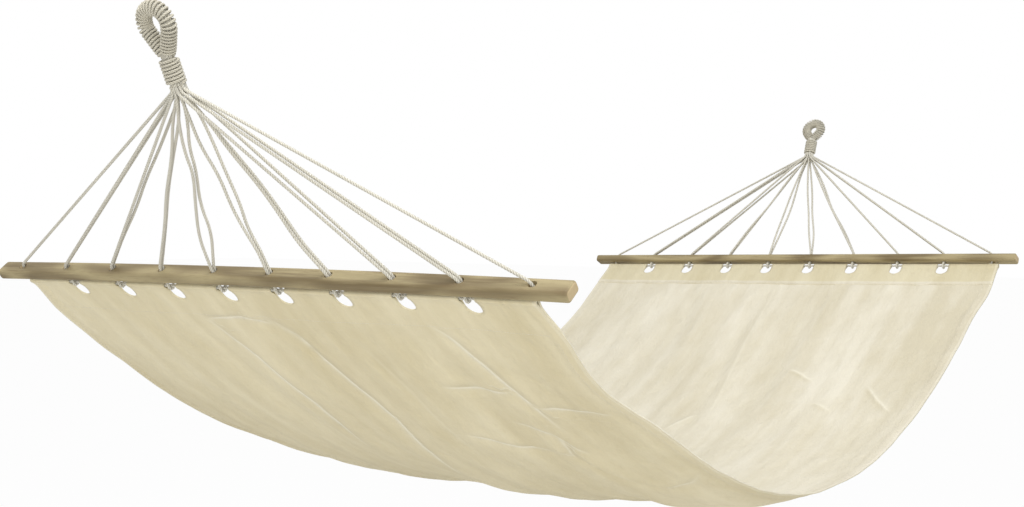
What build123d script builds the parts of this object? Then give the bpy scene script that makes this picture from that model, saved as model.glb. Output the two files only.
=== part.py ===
"""A cotton hammock with two wooden spreader bars, hung by its two served eyes.

X runs along the bars, Y from the head end to the foot end and Z up. The origin is the seat of the
hook inside the head eye. Each end is built in its own frame: the hem cord's axis is the frame's X
axis, +Y points in over the bed and +Z up.
"""
from build123d import *
import os
from math import acos, atan2, ceil, cos, dist, hypot, pi, radians, sin, sqrt, tan

os.makedirs("parts", exist_ok=True)

# Driving dimensions, mm
SPAN = 1664.0           # head hem cord to foot hem cord, level
BED_WIDTH = 928.0       # across the cloth, side hem to side hem
SAG = 332.0             # of the cloth's middle line below its two ends
CROSS_SAG = 35.0        # extra sag of the centre line against the sides, at mid span
SIDE_LEAN = 8.0         # the left side hangs this much lower and the right side higher, at mid span
FOOT_TILT = 1.2         # degrees: the foot bar hangs a little higher at its right end
CLOTH = 2.0             # sheet, with its nap and slack
HEM_DEPTH = 65.0        # turned hem at each end, along the cloth
HEM_INSET = 2.0         # the turned layer ends this far inside the cloth's sides
BAY_SAG = (0.3, 5.0)    # of the cloth between two lines of pull: at the hems and at mid span
NOTCH_WIDTH = 24.0
NOTCH_DEPTH = 28.0      # from the hem cord's axis

BAR_LENGTH = 1000.0
BAR_WIDTH = 26.0
BAR_DEPTH = 16.0        # along its holes
BAR_EDGE = 5.0          # rounding of its four long edges
BAR_END = 3.5           # rounding at its two ends
HOLE_PITCH = 100.0
HOLE_COUNT = 10
HOLE = 11.0
BAR_LIFT = 8.0          # underside of the bar above the hem cord's axis, at the bar's ends

CORD = 4.2              # every suspension cord and hem cord
LEAN = 25.3             # degrees: both fans of cords lean outward from upright
FAN = 258.0             # hole mouth to throat, along the lean
LEG_GAP = 2.3           # half the distance between the two legs of a cord in its hole
LOOP_RADIUS = 4.4       # of its centre line where it goes round the hem cord
MOUTH_RISE = 2.5        # a cord bends this far outside the two mouths of its hole

SLOT = 4.35             # spacing of the 18 legs where they gather in the throat
NECK = 17.6             # across the bundle under the whipping
NECK_HEIGHT = 35.0
NECK_FLARE = 5.0        # height of the cone where the legs draw together
EYE_CORE = 13.5         # across the bundle inside the eye
EYE_FOOT = 1.6          # half the distance between the eye's two strands in the neck
EYE_SHOULDER = 12.0     # bend of each strand out of the neck
WHIP_CORD = 3.8
WHIP_PITCH = 4.35
WHIP_TURNS = 6
WHIP_START = 7.2        # first turn above the throat
SERVE_CORD = 3.0
WIND_CLEARANCE = 0.25   # between a winding and what it is wound on

MID = BAR_LENGTH / 2
MOUTH = BAR_LIFT + BAR_DEPTH        # upper mouth of a hole above the hem cord's axis
HOLES = [HOLE_PITCH * (k - (HOLE_COUNT - 1) / 2) for k in range(HOLE_COUNT)]
TUNNEL_INNER = CORD / 2 + 0.3
TUNNEL_OUTER = TUNNEL_INNER + 1.6
TUNNEL_HALF = HOLES[-1] - 12.0      # the hem cord turns up into its outer holes past this


class End:
    """The sizes that differ between the two ends, and the frame that each end is built in."""

    def __init__(self, name, plane, roll, bow, eye_radius, eye_height, slack):
        self.name, self.plane = name, plane
        self.roll, self.bow = radians(roll), bow
        self.eye_radius, self.eye_height = eye_radius, eye_height
        self.slack = slack

    def bow_at(self, x):
        return self.bow * (1 - (x / MID) ** 2)

    def in_bar(self, x, side, height):
        """A point by the bar's own axes: side across the bar, height along its holes."""
        height += self.bow_at(x)
        return Vector(x, side * cos(self.roll) - height * sin(self.roll),
                      side * sin(self.roll) + height * cos(self.roll))

    def in_fan(self, x, side, height):
        """A point by the fan's axes, with height above the throat."""
        throat = MOUTH * Vector(0, -sin(self.roll), cos(self.roll))
        lean = radians(LEAN)
        return throat + Vector(x, side * cos(lean) - (FAN + height) * sin(lean),
                               side * sin(lean) + (FAN + height) * cos(lean))


# How the slack cords wander: hole, leg, then (share of the way up, sideways mm) for each point
HEAD_SLACK = {
    (4, "a"): [(0.27, 2.0), (0.46, -2.0), (0.66, 2.5), (0.85, -3.0)],
    (4, "b"): [(0.27, 1.0), (0.46, -1.0), (0.66, 3.0), (0.85, 8.0)],
    (5, "a"): [(0.20, -11.0), (0.38, -6.0), (0.57, 2.5), (0.68, -5.0), (0.83, -6.0)],
    (5, "b"): [(0.22, 8.0), (0.38, -3.5), (0.57, 1.0), (0.70, -4.0), (0.84, 2.0)],
    (6, "a"): [(0.12, 1.5), (0.25, -4.0), (0.38, -6.0), (0.55, -1.0), (0.72, -8.0), (0.87, -3.0)],
    (6, "b"): [(0.12, 0.5), (0.25, -3.0), (0.38, 4.0), (0.55, 5.0), (0.72, 7.5), (0.87, 8.0)],
    (7, "a"): [(0.18, -6.0), (0.37, 2.0), (0.52, 4.0), (0.68, 1.0), (0.85, 5.0)],
    (7, "b"): [(0.17, -4.5), (0.36, 3.0), (0.52, 6.0), (0.69, 4.0), (0.84, 1.0)],
    (3, "b"): [(0.18, -2.0), (0.35, 2.5), (0.52, -1.5), (0.70, 2.0)],
}
FOOT_SLACK = {
    (5, "a"): [(0.22, -7.0), (0.43, -3.0), (0.62, -5.0), (0.82, -3.0)],
    (5, "b"): [(0.22, 4.0), (0.43, 3.0), (0.62, 5.0), (0.82, 3.0)],
    (6, "a"): [(0.22, -4.0), (0.44, -7.0), (0.63, -3.0), (0.82, 2.5)],
    (6, "b"): [(0.22, 3.0), (0.44, 3.0), (0.63, 4.0), (0.82, 2.0)],
    (4, "a"): [(0.25, -3.0), (0.46, 4.0), (0.66, -3.0), (0.84, -4.0)],
    (4, "b"): [(0.26, 2.0), (0.48, 5.0), (0.68, 4.0), (0.84, 3.0)],
    (7, "b"): [(0.28, 3.0), (0.50, -3.0), (0.74, 2.0)],
}

tilt = radians(FOOT_TILT)
HEAD = End("head", Plane.XY, roll=38.0, bow=5.0, eye_radius=20.0, eye_height=78.0, slack=HEAD_SLACK)
FOOT_PLANE = Plane((0, SPAN, 0), x_dir=(-cos(tilt), 0, -sin(tilt)), z_dir=(-sin(tilt), 0, cos(tilt)))
FOOT = End("foot", FOOT_PLANE, roll=25.0, bow=0.0, eye_radius=17.0, eye_height=63.0, slack=FOOT_SLACK)

# Where each leg of the left half gathers in the throat, in half columns and rows of SLOT;
# a leg of the right half takes the opposite place
SLOTS = {(1, "a"): (-4, 0), (2, "a"): (-3, -1), (2, "b"): (-3, 1), (3, "a"): (-2, -2), (3, "b"): (-2, 2),
         (4, "a"): (-1, -1), (4, "b"): (-2, 0), (5, "a"): (0, -2), (5, "b"): (-1, 1)}
FIRST_DROP = 6.0        # straight run of the outermost legs below the throat
DROP_STEP = 1.5         # and this much more for each half column nearer the middle


def slot(hole, leg):
    """The place of a leg in the throat: across, side and the straight run below."""
    if hole * 2 > HOLE_COUNT:
        opposite = "a" if leg == "b" or hole == HOLE_COUNT else "b"
        across, side, drop = slot(HOLE_COUNT + 1 - hole, opposite)
        return -across, -side, drop
    column, row = SLOTS[hole, leg]
    drop = FIRST_DROP + DROP_STEP * (4 - abs(column))
    return column * SLOT / 2, row * SLOT * sqrt(3) / 2, drop


def leg_points(end, hole, leg):
    """From the throat down to the upper mouth of the hole."""
    x = HOLES[hole - 1]
    gap = 0.0 if hole in (1, HOLE_COUNT) else (-LEG_GAP if leg == "a" else LEG_GAP)
    across, side, drop = slot(hole, leg)
    top, low = end.in_fan(across, side, 0), end.in_fan(across, side, -drop)
    mouth = end.in_bar(x, gap, MOUTH + MOUTH_RISE)
    wander = [mouth + (low - mouth) * share + Vector(sideways, 0, 0)
              for share, sideways in end.slack.get((hole, leg), [])]
    return [top, low] + wander[::-1] + [mouth]


def doubled_route(end, hole):
    """Down one leg, through the bar, round the hem cord and up the other leg."""
    x = HOLES[hole - 1]
    corner = LOOP_RADIUS * tan(radians(22.5))
    half_loop = [(LOOP_RADIUS, 2.5), (LOOP_RADIUS, -corner), (corner, -LOOP_RADIUS)]
    loop = [(-side, height) for side, height in half_loop] + half_loop[::-1]
    round_hem = [end.in_bar(x, side, height - end.bow_at(x)) for side, height in loop]
    down, up = (end.in_bar(x, gap, BAR_LIFT + MOUTH_RISE) for gap in (-LEG_GAP, LEG_GAP))
    return leg_points(end, hole, "a") + [down] + round_hem + [up] + leg_points(end, hole, "b")[::-1]


def hem_route(end):
    """Down the first leg, along the end hem and up the last leg."""
    along = [Vector(HOLES[0], 0, 0), Vector(HOLES[-1], 0, 0)]
    return leg_points(end, 1, "a") + along + leg_points(end, HOLE_COUNT, "a")[::-1]


def turn_radii(points):
    """For each corner, 0.45 of its shorter run over the tangent of half its turn."""
    radii = []
    for before, corner, after in zip(points, points[1:], points[2:]):
        turn = radians((corner - before).get_angle(after - corner))
        shorter = min((corner - before).length, (after - corner).length)
        radii.append(0.45 * shorter / tan(turn / 2))
    return radii


def tube(points, diameter, name):
    """A cord along straight runs joined by tangent arcs, with its volume compared to its length."""
    radii = turn_radii(points)
    path = FilletPolyline(*points, radius=radii)
    solid = sweep(Plane(origin=path @ 0, z_dir=path % 0) * Circle(diameter / 2), path=path)
    ratio = solid.volume / (pi * diameter ** 2 / 4 * path.length)
    tightest = ", ".join(f"{r:.1f}" for r in sorted(radii)[:4])
    print(f"{name}: length {path.length:.0f}, volume ratio {ratio:.4f}, tightest radii {tightest}")
    return solid


def biarc(start, heading, finish, final):
    """Two arcs that leave start along heading and reach finish along final."""
    chord, both = finish - start, heading + final
    a, b, c = 2 * (heading.dot(final) - 1), -2 * chord.dot(both), chord.dot(chord)
    reach = (-b - sqrt(b * b - 4 * a * c)) / (2 * a)
    if reach < 0:
        reach = (-b + sqrt(b * b - 4 * a * c)) / (2 * a)
    joint = (start + heading * reach + finish - final * reach) / 2
    first = TangentArc(start, joint, tangent=heading)
    return [first, TangentArc(joint, finish, tangent=first % 1)]


def winding(place, turns, diameter, name):
    """One unbroken tube along place(turn number), in biarcs of half a turn with straight ends."""
    step = 1e-4
    stops = [k / 2 for k in range(int(turns * 2) + 1)]
    heads = [(place(t + step) - place(t - step)).normalized() for t in stops]
    spots = [place(t) for t in stops]
    edges = [Line(spots[0] - heads[0] * diameter, spots[0])]
    for k in range(len(stops) - 1):
        edges += biarc(spots[k], heads[k], spots[k + 1], heads[k + 1])
    edges.append(Line(spots[-1], spots[-1] + heads[-1] * diameter))
    path = Wire(edges)
    rim = Plane(origin=path @ 0, z_dir=path % 0) * Circle(diameter / 2)
    gap = least_gap([spot(path, path.length * i / 1200) for i in range(1201)], diameter)
    print(f"{name}: {turns:.1f} turns, length {path.length:.0f}, least gap to itself {gap:.2f}")
    return sweep(rim, path=path)


def spot(path, distance):
    """The point at a distance along a path."""
    return path.position_at(distance, PositionMode.LENGTH)


def least_gap(points, diameter):
    """The least gap between points of a tube that are over three diameters apart along it."""
    step = max((b - a).length for a, b in zip(points, points[1:]))
    apart = ceil(3 * diameter / step)
    return min((q - p).length for i, p in enumerate(points) for q in points[i + apart:]) - diameter


def spreader_bar(end):
    """A rounded rectangular stick with ten holes; the pull of the cords bows the head one."""
    left, middle, right = (end.in_bar(x, 0, BAR_LIFT + BAR_DEPTH / 2) for x in (-MID, 0, MID))
    path = ThreePointArc(left, middle, right) if end.bow else Line(left, right)
    across = Vector(0, cos(end.roll), sin(end.roll))
    start = Plane(origin=path @ 0, x_dir=across, z_dir=path % 0)
    bar = sweep(start * RectangleRounded(BAR_WIDTH, BAR_DEPTH, BAR_EDGE), path=path)
    by_x = bar.faces().sort_by(Axis.X)
    bar = fillet(by_x[0].edges() + by_x[-1].edges(), BAR_END)
    along_holes = (0, -sin(end.roll), cos(end.roll))
    for x in HOLES:
        drill = Plane(origin=end.in_bar(x, 0, BAR_LIFT + BAR_DEPTH / 2), z_dir=along_holes)
        bar -= drill * extrude(Circle(HOLE / 2), BAR_DEPTH, both=True)
    return bar


def eye_path(end):
    """The centre line of the eye's bundle: up out of the neck, round the hook's space and back."""
    bend = NECK_HEIGHT + 3.0
    below = bend - end.eye_height
    away = atan2(below, EYE_FOOT) + acos(end.eye_radius / hypot(EYE_FOOT, below))
    touch_x, touch = end.eye_radius * cos(away), end.eye_height + end.eye_radius * sin(away)
    sides = []
    for sign in (1, -1):
        corners = [(EYE_FOOT, bend - 9.0), (EYE_FOOT, bend), (touch_x, touch)]
        points = [end.in_fan(sign * x, 0, height) for x, height in corners]
        sides.append(FilletPolyline(*points[::sign], radius=EYE_SHOULDER))
    over = ThreePointArc(sides[0] @ 1, end.in_fan(0, 0, end.eye_height + end.eye_radius), sides[1] @ 0)
    return Wire(sides[0].edges() + over.edges() + sides[1].edges())


def eye_core(end, path):
    """Nine cords bundled round the eye, with all their 18 legs in the neck below it."""
    throat = end.in_fan(0, 0, 0)
    base = Plane(origin=throat, x_dir=(1, 0, 0), z_dir=end.in_fan(0, 0, 1) - throat)
    spread = 2 * SLOT + CORD / 2 + 0.3
    flare = Pos(0, 0, NECK_FLARE / 2) * Cone(spread, NECK / 2, NECK_FLARE)
    neck = Pos(0, 0, NECK_FLARE) * extrude(Circle(NECK / 2), NECK_HEIGHT - NECK_FLARE)
    half = path.trim(0, 0.5)
    strand = sweep(Plane(origin=half @ 0, z_dir=half % 0) * Circle(EYE_CORE / 2), path=half)
    return base * flare + base * neck + strand + mirror(strand, about=Plane.YZ)


def eye_serving(end, path):
    """The cord wound round the eye, side by side on its inside and fanned out on its outside."""
    radius = EYE_CORE / 2 + WIND_CLEARANCE + SERVE_CORD / 2
    inner = end.eye_radius - radius
    pitch = (SERVE_CORD + 0.5) * end.eye_radius / inner
    clear = radius + SERVE_CORD / 2 + 0.5
    bare = next(d for d in range(int(path.length / 2)) if abs(spot(path, d).X) >= clear)
    turns = int((path.length - 2 * bare) / pitch * 2) / 2
    first = (path.length - turns * pitch) / 2
    side = (end.in_fan(0, 1, 0) - end.in_fan(0, 0, 0)).normalized()

    def place(turn):
        distance = first + turn * pitch
        outward = side.cross(path.tangent_at(distance, PositionMode.LENGTH)).normalized()
        angle = 2 * pi * turn
        return spot(path, distance) + outward * (radius * cos(angle)) + side * (radius * sin(angle))

    return winding(place, turns, SERVE_CORD, f"{end.name}_eye_serving")


def throat_whipping(end):
    """The cord wound round the neck, below the eye."""
    radius = NECK / 2 + WIND_CLEARANCE + WHIP_CORD / 2

    def place(turn):
        angle = 2 * pi * turn
        return end.in_fan(radius * cos(angle), radius * sin(angle), WHIP_START + WHIP_PITCH * turn)

    return winding(place, WHIP_TURNS, WHIP_CORD, f"{end.name}_throat_whipping")


# The bed: u runs from 0 at the head hem cord to 1 at the foot hem cord
PROFILE_SKEW = -0.071   # fuller towards the head
PROFILE_SQUARE, PROFILE_FOURTH = -0.129, 0.145
HALF = BED_WIDTH / 2
STATIONS = 13


def profile(u):
    """The line of the cloth's sides, seen along the bars: y and z."""
    w = 2 * u - 1
    fullness = 1 + PROFILE_SKEW * w + PROFILE_SQUARE * (w ** 2 - 1 / 3) + PROFILE_FOURTH * (w ** 4 - 1 / 5)
    return SPAN * u, -SAG * 4 * u * (1 - u) * fullness


LINE = [profile(k / 400) for k in range(401)]
BED_LENGTH = sum(dist(a, b) for a, b in zip(LINE, LINE[1:]))


def across_plane(u):
    """The plane square to the cloth's length, with x across the bed and y up out of it."""
    step = 1e-4
    (y0, z0), (y1, z1) = profile(u - step), profile(u + step)
    along = Vector(0, y1 - y0, z1 - z0).normalized()
    turned = tilt * u
    across = Vector(cos(turned), 0, sin(turned))
    along = (along - across * along.dot(across)).normalized()
    y, z = profile(u)
    return Plane(origin=(0, y, z), x_dir=across, z_dir=along * -1)


def cloth_height(x, u):
    """How far a line of pull lies above the side's profile."""
    middle = 1 - (2 * u - 1) ** 2
    return -CROSS_SAG * (1 - (x / HALF) ** 2) * middle ** 1.5 + SIDE_LEAN * x / HALF * middle


def cloth_section(u, top, bottom, inset):
    """A strip of cloth across the bed that sags a little in each bay between two lines of pull."""
    lines = [inset - HALF] + HOLES + [HALF - inset]
    sag = BAY_SAG[0] + (BAY_SAG[1] - BAY_SAG[0]) * (1 - (2 * u - 1) ** 2)
    edges = []
    for shift, order in ((top, 1), (bottom, -1)):
        spots = [(x, cloth_height(x, u) + shift) for x in lines][::order]
        for (x0, h0), (x1, h1) in zip(spots, spots[1:]):
            bay = abs(x1 - x0) > HOLE_PITCH / 2
            middle = ((x0 + x1) / 2, (h0 + h1) / 2 - sag)
            edges.append(ThreePointArc((x0, h0), middle, (x1, h1)) if bay else Line((x0, h0), (x1, h1)))
        edges.append(Line(spots[-1], (spots[-1][0], cloth_height(spots[-1][0], u) + top + bottom - shift)))
    return across_plane(u) * make_face(edges)


def cloth_layer(start, finish, count, top, bottom, inset=0.0):
    """A layer between two heights above the cloth's middle surface, lofted along the bed."""
    steps = [start + (finish - start) * k / (count - 1) for k in range(count)]
    return loft([cloth_section(u, top, bottom, inset) for u in steps])


def end_hem(end, u_end, u_inside):
    """The tunnel round the hem cord, and what is cut away: its bore and the notches between tabs."""
    (y_end, z_end), (y_inside, z_inside) = profile(u_end), profile(u_inside)
    down = Vector(0, abs(y_inside - y_end), z_inside - z_end).normalized()
    tunnel = Plane.YZ * extrude(Circle(TUNNEL_OUTER), TUNNEL_HALF, both=True)
    bore = Plane.YZ * extrude(Circle(TUNNEL_INNER), MID, both=True)
    past, straight = 2 * TUNNEL_OUTER, NOTCH_DEPTH - NOTCH_WIDTH / 2
    outline = Pos((straight - past) / 2, 0) * Rectangle(straight + past, NOTCH_WIDTH)
    outline += Pos(straight, 0) * Circle(NOTCH_WIDTH / 2)
    notch = extrude(outline, NOTCH_WIDTH / 2, both=True)
    notches = [Plane(origin=(x, 0, 0), x_dir=down, z_dir=(0, down.Z, -down.Y)) * notch for x in HOLES[1:-1]]
    here = end.plane.location
    return here * tunnel, [here * cut for cut in notches + [bore]]


def bed_cloth():
    """The sheet with its folds, the doubled end hems, the tunnels and the notches."""
    start = (TUNNEL_INNER + 0.6) / BED_LENGTH       # both layers start in the wall of the tunnel
    hem_start = (TUNNEL_INNER + 0.2) / BED_LENGTH
    hem = HEM_DEPTH / BED_LENGTH
    cloth = cloth_layer(start, 1 - start, STATIONS, CLOTH / 2, -CLOTH / 2)
    cloth += cloth_layer(hem_start, hem, 3, 0, -CLOTH, HEM_INSET)
    cloth += cloth_layer(1 - hem, 1 - hem_start, 3, 0, -CLOTH, HEM_INSET)
    for end, u_end, u_inside in ((HEAD, 0.0, 0.01), (FOOT, 1.0, 0.99)):
        tunnel, cuts = end_hem(end, u_end, u_inside)
        cloth += tunnel
        for cut in cuts:
            cloth -= cut
    return cloth


# The hook seat of the head eye, where the origin goes
SEAT_HEIGHT = HEAD.eye_height + HEAD.eye_radius - EYE_CORE / 2 - WIND_CLEARANCE - SERVE_CORD
SEAT = HEAD.in_fan(0, 0, SEAT_HEIGHT)


def save(name, solid):
    moved = Pos(*(SEAT * -1)) * solid
    moved.label = name
    export_step(moved, f"parts/{name}.step")


def build_end(end):
    """The bar, cords and windings of one end; cords count from the left as seen from the head."""
    here = end.plane.location
    save(f"{end.name}_spreader_bar", here * spreader_bar(end))
    save(f"{end.name}_hem_cord", here * tube(hem_route(end), CORD, f"{end.name}_hem_cord"))
    for hole in range(2, HOLE_COUNT):
        number = hole if end is HEAD else HOLE_COUNT + 1 - hole
        name = f"{end.name}_cord_{number}"
        save(name, here * tube(doubled_route(end, hole), CORD, name))
    path = eye_path(end)
    save(f"{end.name}_eye_core", here * eye_core(end, path))
    save(f"{end.name}_eye_serving", here * eye_serving(end, path))
    save(f"{end.name}_throat_whipping", here * throat_whipping(end))


if __name__ == "__main__":
    for each in (HEAD, FOOT):
        build_end(each)
    save("bed_cloth", bed_cloth())
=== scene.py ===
# %% [markdown]
# A cotton hammock with two spreader bars
#
# The real thing is one canvas sheet, two wooden bars, and nine cords at each end that gather into an eye.
# The imported model already holds every piece at its place, so the first step only loads it.

# %% Load the imported hammock
from math import acos, atan2, ceil, cos, hypot, pi, radians, sin, sqrt, tan

import bpy
import numpy as np
from mathutils import Matrix, Vector, noise


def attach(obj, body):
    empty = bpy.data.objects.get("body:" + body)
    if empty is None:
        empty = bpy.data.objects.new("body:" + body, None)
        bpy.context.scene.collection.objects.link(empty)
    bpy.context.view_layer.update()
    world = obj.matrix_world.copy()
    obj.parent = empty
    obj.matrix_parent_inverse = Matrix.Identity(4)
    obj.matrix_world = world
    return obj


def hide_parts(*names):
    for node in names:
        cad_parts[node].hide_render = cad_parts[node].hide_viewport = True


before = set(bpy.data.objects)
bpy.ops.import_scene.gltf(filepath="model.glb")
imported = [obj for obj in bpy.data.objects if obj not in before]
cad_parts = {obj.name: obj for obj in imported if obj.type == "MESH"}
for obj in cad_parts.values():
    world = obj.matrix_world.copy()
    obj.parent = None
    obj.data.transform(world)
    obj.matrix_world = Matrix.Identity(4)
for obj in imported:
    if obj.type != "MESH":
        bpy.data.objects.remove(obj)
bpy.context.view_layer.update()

MM = 0.001
scene = bpy.context.scene

# %% [markdown]
# The driving sizes
#
# These are the sizes of the solids, in metres: cords, holes and cloth are all worked out from them, so a
# cord passes its hole and the cloth goes round its hem cord without any fitting by eye. Only the windings
# differ a little: their turns lie closer here, because soft cords press into each other.

# %% Sizes in metres
SPAN = 1.664            # head hem cord to foot hem cord, level
HALF_WIDTH = 0.464      # of the bed
SAG = 0.332
CROSS_SAG = 0.035
SIDE_LEAN = 0.008
FOOT_TILT = radians(1.2)
BAR_LENGTH = 1.0
BAR_LIFT = 0.008        # underside of the bar above the hem cord's axis
BAR_DEPTH = 0.016
HOLE_PITCH = 0.1
HOLE_COUNT = 10
CORD = 0.0042
NAP = 1.1               # hairs and crowns stand this many times the cord's radius out
LEAN = radians(25.3)    # of both fans of cords
FAN = 0.258             # hole mouth to throat
LEG_GAP = 0.0023
LOOP_RADIUS = 0.0044
LOOP_TOP = 0.0025       # above the hem cord's axis, where the loop round it begins
MOUTH_RISE = 0.0025
SLOT = 0.00435          # spacing of the 18 legs in the throat
NECK = 0.0176
NECK_HEIGHT = 0.035
EYE_CORE = 0.0135
EYE_FOOT = 0.0016
WHIP_CORD = 0.0038
WHIP_PITCH = 0.00435
WHIP_TURNS = 7
WHIP_START = 0.0029
SERVE_CORD = 0.003
SERVE_NAP = 0.0002      # the served cord's own hairs, on top of its size
WIND_CLEARANCE = 0.00025

MOUTH = BAR_LIFT + BAR_DEPTH
HOLES = [HOLE_PITCH * (k - (HOLE_COUNT - 1) / 2) for k in range(HOLE_COUNT)]
print("holes:", [round(x, 2) for x in HOLES])


# %% [markdown]
# Two ends, one set of rules
#
# Each end is drawn in its own frame: X along the hem cord, Y in over the bed, Z up. The bar and the fan of
# cords lean by different angles there. A small class holds what differs and turns a point of the end into a
# point of the room, so every later piece is written once and made twice.

# %% The two ends
class End:
    """What differs between the head end and the foot end, and the way from its frame to the room's."""

    def __init__(self, name, origin, across, up, roll, bow, eye_radius, eye_height, slack):
        self.name, self.roll, self.bow, self.slack = name, radians(roll), bow, slack
        self.eye_radius, self.eye_height = eye_radius, eye_height
        self.origin, self.across, self.up = Vector(origin), Vector(across), Vector(up)
        self.inward = self.up.cross(self.across)
        self.body = f"{name}_fan"

    def place(self, x, y, z):
        return self.origin + self.across * x + self.inward * y + self.up * z

    def bow_at(self, x):
        return self.bow * (1 - (2 * x / BAR_LENGTH) ** 2)

    def in_bar(self, x, side, height):
        height += self.bow_at(x)
        return self.place(x, side * cos(self.roll) - height * sin(self.roll),
                          side * sin(self.roll) + height * cos(self.roll))

    def in_fan(self, x, side, height):
        reach = FAN + height
        return self.place(x, -MOUTH * sin(self.roll) + side * cos(LEAN) - reach * sin(LEAN),
                          MOUTH * cos(self.roll) + side * sin(LEAN) + reach * cos(LEAN))


# hole, leg: (share of the way up, sideways millimetres) of each point where a slack cord wanders
HEAD_SLACK = {
    (4, "a"): [(0.27, 2.0), (0.46, -2.0), (0.66, 2.5), (0.85, -3.0)],
    (4, "b"): [(0.27, 1.0), (0.46, -1.0), (0.66, 3.0), (0.85, 8.0)],
    (5, "a"): [(0.20, -11.0), (0.38, -6.0), (0.57, 2.5), (0.68, -5.0), (0.83, -6.0)],
    (5, "b"): [(0.22, 8.0), (0.38, -3.5), (0.57, 1.0), (0.70, -4.0), (0.84, 2.0)],
    (6, "a"): [(0.12, 1.5), (0.25, -4.0), (0.38, -6.0), (0.55, -1.0), (0.72, -8.0), (0.87, -3.0)],
    (6, "b"): [(0.12, 0.5), (0.25, -3.0), (0.38, 4.0), (0.55, 5.0), (0.72, 7.5), (0.87, 8.0)],
    (7, "a"): [(0.18, -6.0), (0.37, 2.0), (0.52, 4.0), (0.68, 1.0), (0.85, 5.0)],
    (7, "b"): [(0.17, -4.5), (0.36, 3.0), (0.52, 6.0), (0.69, 4.0), (0.84, 1.0)],
    (3, "b"): [(0.18, -2.0), (0.35, 2.5), (0.52, -1.5), (0.70, 2.0)],
}
FOOT_SLACK = {
    (5, "a"): [(0.22, -7.0), (0.43, -3.0), (0.62, -5.0), (0.82, -3.0)],
    (5, "b"): [(0.22, 4.0), (0.43, 3.0), (0.62, 5.0), (0.82, 3.0)],
    (6, "a"): [(0.22, -4.0), (0.44, -7.0), (0.63, -3.0), (0.82, 2.5)],
    (6, "b"): [(0.22, 3.0), (0.44, 3.0), (0.63, 4.0), (0.82, 2.0)],
    (4, "a"): [(0.25, -3.0), (0.46, 4.0), (0.66, -3.0), (0.84, -4.0)],
    (4, "b"): [(0.26, 2.0), (0.48, 5.0), (0.68, 4.0), (0.84, 3.0)],
    (7, "b"): [(0.28, 3.0), (0.50, -3.0), (0.74, 2.0)],
}
HEAD = End("head", (0, 0, 0), (1, 0, 0), (0, 0, 1), roll=38.0, bow=0.005,
           eye_radius=0.020, eye_height=0.078, slack=HEAD_SLACK)
FOOT = End("foot", (0, SPAN, 0), (-cos(FOOT_TILT), 0, -sin(FOOT_TILT)), (-sin(FOOT_TILT), 0, cos(FOOT_TILT)),
           roll=25.0, bow=0.0, eye_radius=0.017, eye_height=0.063, slack=FOOT_SLACK)
SEAT_HEIGHT = HEAD.eye_height + HEAD.eye_radius - EYE_CORE / 2 - WIND_CLEARANCE - SERVE_CORD
SEAT = HEAD.in_fan(0, 0, SEAT_HEIGHT)
for end in (HEAD, FOOT):
    end.origin = end.origin - SEAT      # the room's origin is the hook's seat in the head eye
print("hem cords run at", [tuple(round(v, 4) for v in end.origin) for end in (HEAD, FOOT)])

# %% [markdown]
# The camera
#
# The picture was taken from beside the head end, nearly level with the bars and about a metre and a half
# from the nearest bar end, so the underside of the near half and the upper side of the far half both show. A
# camera matrix is made of three directions, right, up and backwards, and turning it a little about its own
# axis levels the picture.

# %% Camera
CAMERA_PLACE = Vector((1.3448, -1.1692, -0.2487))
CAMERA_YAW, CAMERA_PITCH, CAMERA_ROLL = radians(35.0236), radians(-1.0704), radians(0.4353)
CAMERA_LENS = 50.74     # mm, on a sensor 36 mm wide


def add_camera():
    right = Vector((cos(CAMERA_YAW), sin(CAMERA_YAW), 0))
    ahead = Vector((-sin(CAMERA_YAW) * cos(CAMERA_PITCH), cos(CAMERA_YAW) * cos(CAMERA_PITCH),
                    sin(CAMERA_PITCH)))
    up = right.cross(ahead)
    rolled_right = right * cos(CAMERA_ROLL) + up * sin(CAMERA_ROLL)
    rolled_up = up * cos(CAMERA_ROLL) - right * sin(CAMERA_ROLL)
    data = bpy.data.cameras.new("camera")
    data.lens, data.sensor_width = CAMERA_LENS, 36.0
    camera = bpy.data.objects.new("camera", data)
    turned = Matrix((rolled_right, rolled_up, -ahead)).transposed().to_4x4()
    camera.matrix_world = Matrix.Translation(CAMERA_PLACE) @ turned
    scene.collection.objects.link(camera)
    scene.camera = camera
    return camera


print("camera at", tuple(round(v, 3) for v in add_camera().location))


# %% [markdown]
# Shader arithmetic in plain Python
#
# A material is a small program of nodes. Writing it as sums and products keeps it readable: a Link wraps a
# socket, and each Python operator on it adds one Math node. Every other node comes from Finish.add, which
# sets the node's own settings first and then its sockets.

# %% Links and finishes
class Link:
    """A number that flows through a material."""

    def __init__(self, finish, socket):
        self.finish, self.socket = finish, socket

    def math(self, operation, *others):
        values = dict(enumerate((self, *others)))
        return self.finish.add("ShaderNodeMath", {"operation": operation}, values)

    def reflected(self, operation, other):
        return self.finish.add("ShaderNodeMath", {"operation": operation}, {0: other, 1: self})

    def __add__(self, other): return self.math("ADD", other)
    def __radd__(self, other): return self.math("ADD", other)
    def __sub__(self, other): return self.math("SUBTRACT", other)
    def __rsub__(self, other): return self.reflected("SUBTRACT", other)
    def __mul__(self, other): return self.math("MULTIPLY", other)
    def __rmul__(self, other): return self.math("MULTIPLY", other)
    def __truediv__(self, other): return self.math("DIVIDE", other)
    def __pow__(self, other): return self.math("POWER", other)
    def sine(self): return self.math("SINE")
    def size(self): return self.math("ABSOLUTE")
    def least(self, other): return self.math("MINIMUM", other)
    def most(self, other): return self.math("MAXIMUM", other)


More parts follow.
